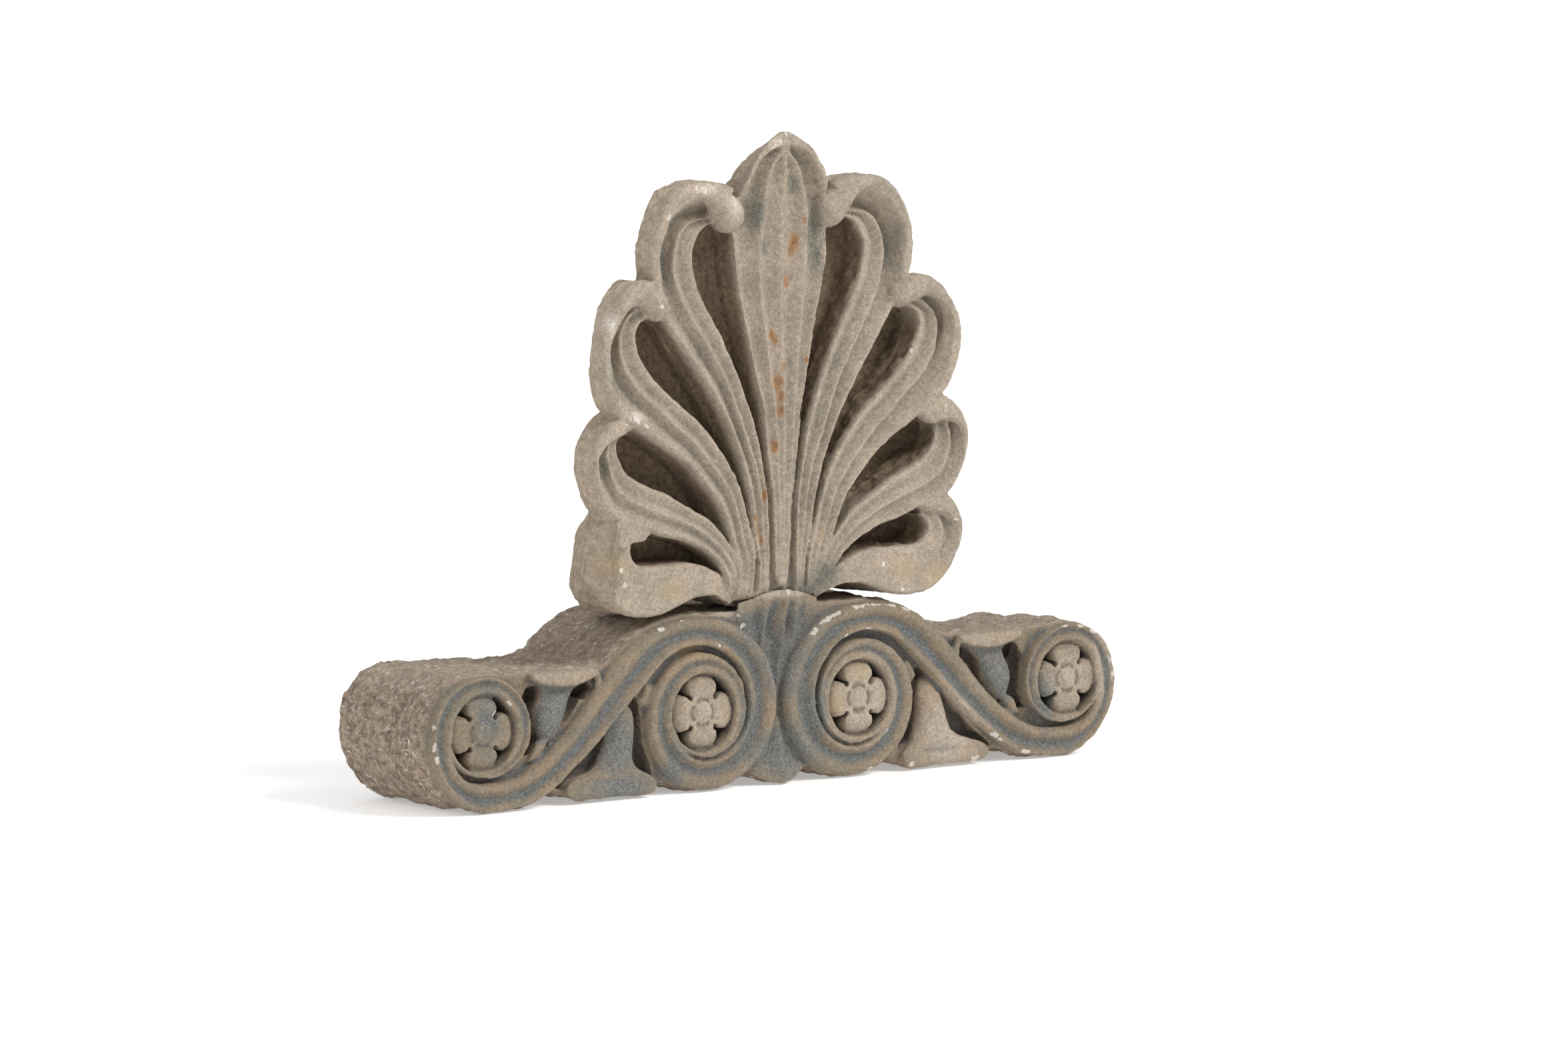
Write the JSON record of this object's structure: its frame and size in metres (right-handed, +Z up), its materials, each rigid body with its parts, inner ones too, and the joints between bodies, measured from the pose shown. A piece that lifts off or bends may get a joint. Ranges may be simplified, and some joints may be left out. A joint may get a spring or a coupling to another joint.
{
  "type": "antefix",
  "caption": "Carved stone roof ornament: an upright palmette with deep pockets, standing on a base of linked scrolls with rosettes.",
  "frame": {"origin": "below the middle of the object, on the surface that it stands on", "axes": "+Z up, +X to the right of someone who faces the carving, +Y towards the plain back"},
  "size_m": [0.901, 0.179, 0.686],
  "materials": {
    "grey_green_stone": "carved limestone, weathered blue-grey in the channels, buff and chipped on the raised rims",
    "buff_stone": "carved granular limestone, warm buff, with pecked sides, chips and small orange lichen spots"
  },
  "bodies": {
    "root": {"scroll_base": "grey_green_stone", "palmette": "buff_stone"}
  },
  "joints": []
}
